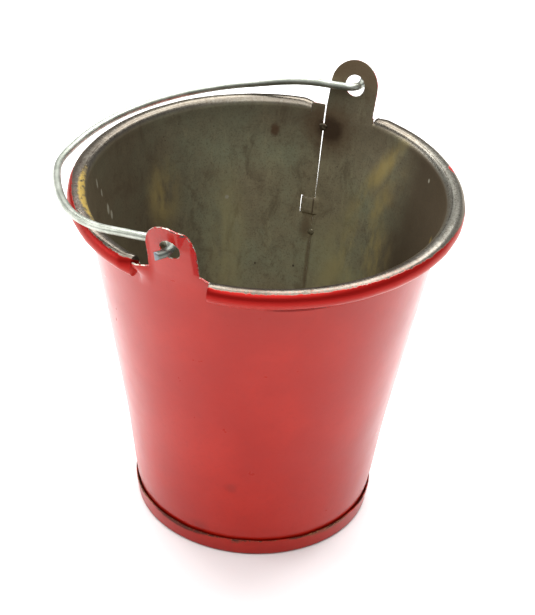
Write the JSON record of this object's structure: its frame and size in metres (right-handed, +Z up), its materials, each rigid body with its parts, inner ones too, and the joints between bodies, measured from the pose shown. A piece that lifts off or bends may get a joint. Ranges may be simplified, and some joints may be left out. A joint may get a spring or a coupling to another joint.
{
  "type": "bucket",
  "caption": "Small tapered tinplate pail, painted red outside and bare inside, with a rolled rim, two upright ears and a swinging wire bail.",
  "frame": {"origin": "centre of the base, on the plane that the pail stands on", "axes": "+Z up along the axis of the cone; the two ears stand on the Y axis; the bail turns about a line parallel to Y and lies over to -X at rest"},
  "size_m": [0.0795, 0.0809, 0.0815],
  "materials": {
    "painted_tinplate": "gloss red enamel outside, dull bare tinplate inside",
    "painted_cap": "gloss red enamel, chipped along the open lip",
    "solder": "dull grey solder darkened by heat",
    "galvanised_wire": "bright galvanised wire with drawn lines"
  },
  "bodies": {
    "pail": {"body_sheet": "painted_tinplate", "bottom_cap": "painted_cap", "seam_tacks": "solder"},
    "bail": {"bail_wire": "galvanised_wire"}
  },
  "joints": [
    {"name": "bail_hinge", "type": "hinge", "parent": "pail", "child": "bail", "pos_m": [0, 0, 0.0764], "axis": [0, 1, 0], "range_deg": [-2, 201]}
  ]
}
